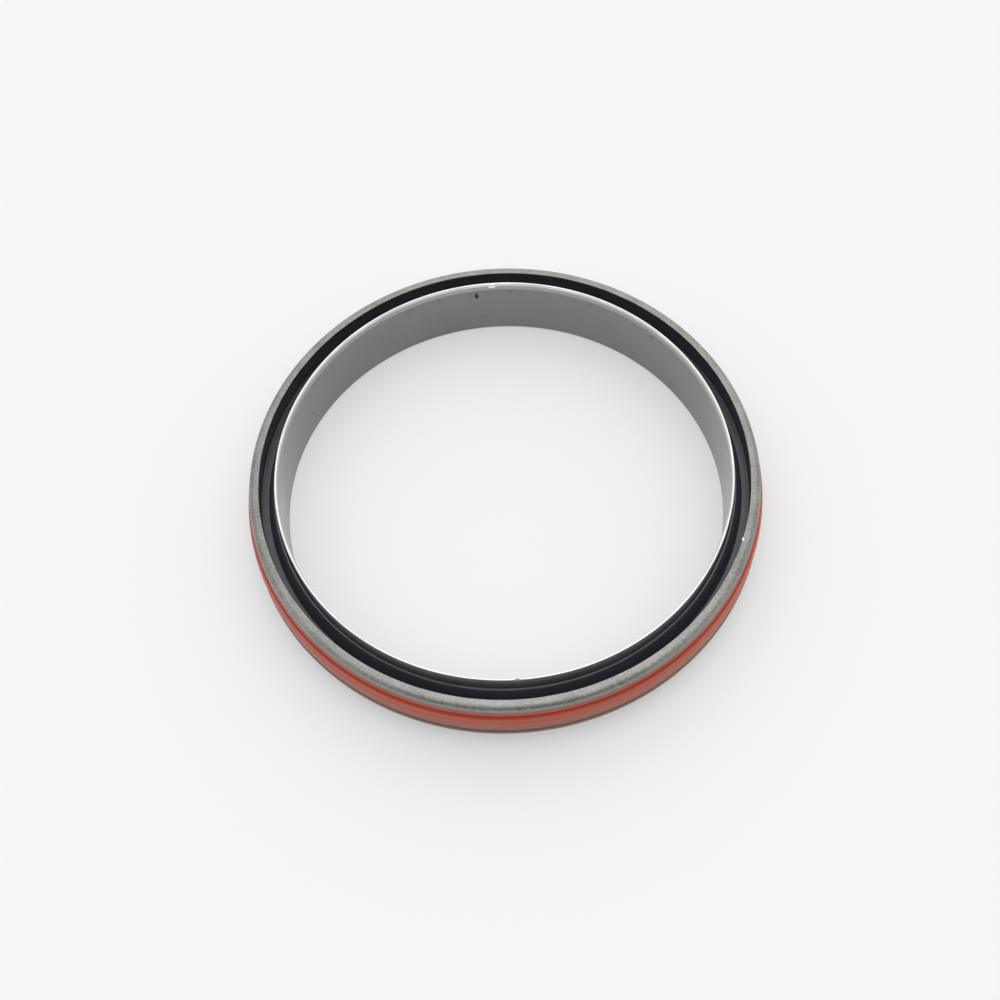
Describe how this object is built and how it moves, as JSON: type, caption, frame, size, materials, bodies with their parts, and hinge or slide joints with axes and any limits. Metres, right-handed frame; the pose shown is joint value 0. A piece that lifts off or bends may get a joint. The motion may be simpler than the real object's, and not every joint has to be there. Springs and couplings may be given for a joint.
{
  "type": "crankshaft oil seal",
  "caption": "Rotary shaft seal: steel case with an orange sealing band, black rubber lips and a garter spring, riding on a thin steel wear sleeve.",
  "frame": {"origin": "centre of the wear sleeve's foot, on the seal's axis", "axes": "+Z along the seal's axis, from the oil side to the air side"},
  "size_m": [0.15, 0.15, 0.022],
  "materials": {
    "case_steel": "satin, deep-drawn",
    "band_rubber": "satin, moulded",
    "inner_case_steel": "phosphated",
    "lip_rubber": "semi-gloss, moulded",
    "spring_wire": "bright drawn wire",
    "sleeve_steel": "ground, with a polished rim"
  },
  "bodies": {
    "seal": {"outer_case": "case_steel", "seal_band": "band_rubber", "inner_case": "inner_case_steel", "lip_element": "lip_rubber", "garter_spring": "spring_wire"},
    "sleeve": {"wear_sleeve": "sleeve_steel"}
  },
  "joints": [
    {"name": "sleeve_turn", "type": "hinge", "parent": "seal", "child": "sleeve", "pos_m": [0, 0, 0.011], "axis": [0, 0, 1], "continuous": true}
  ]
}
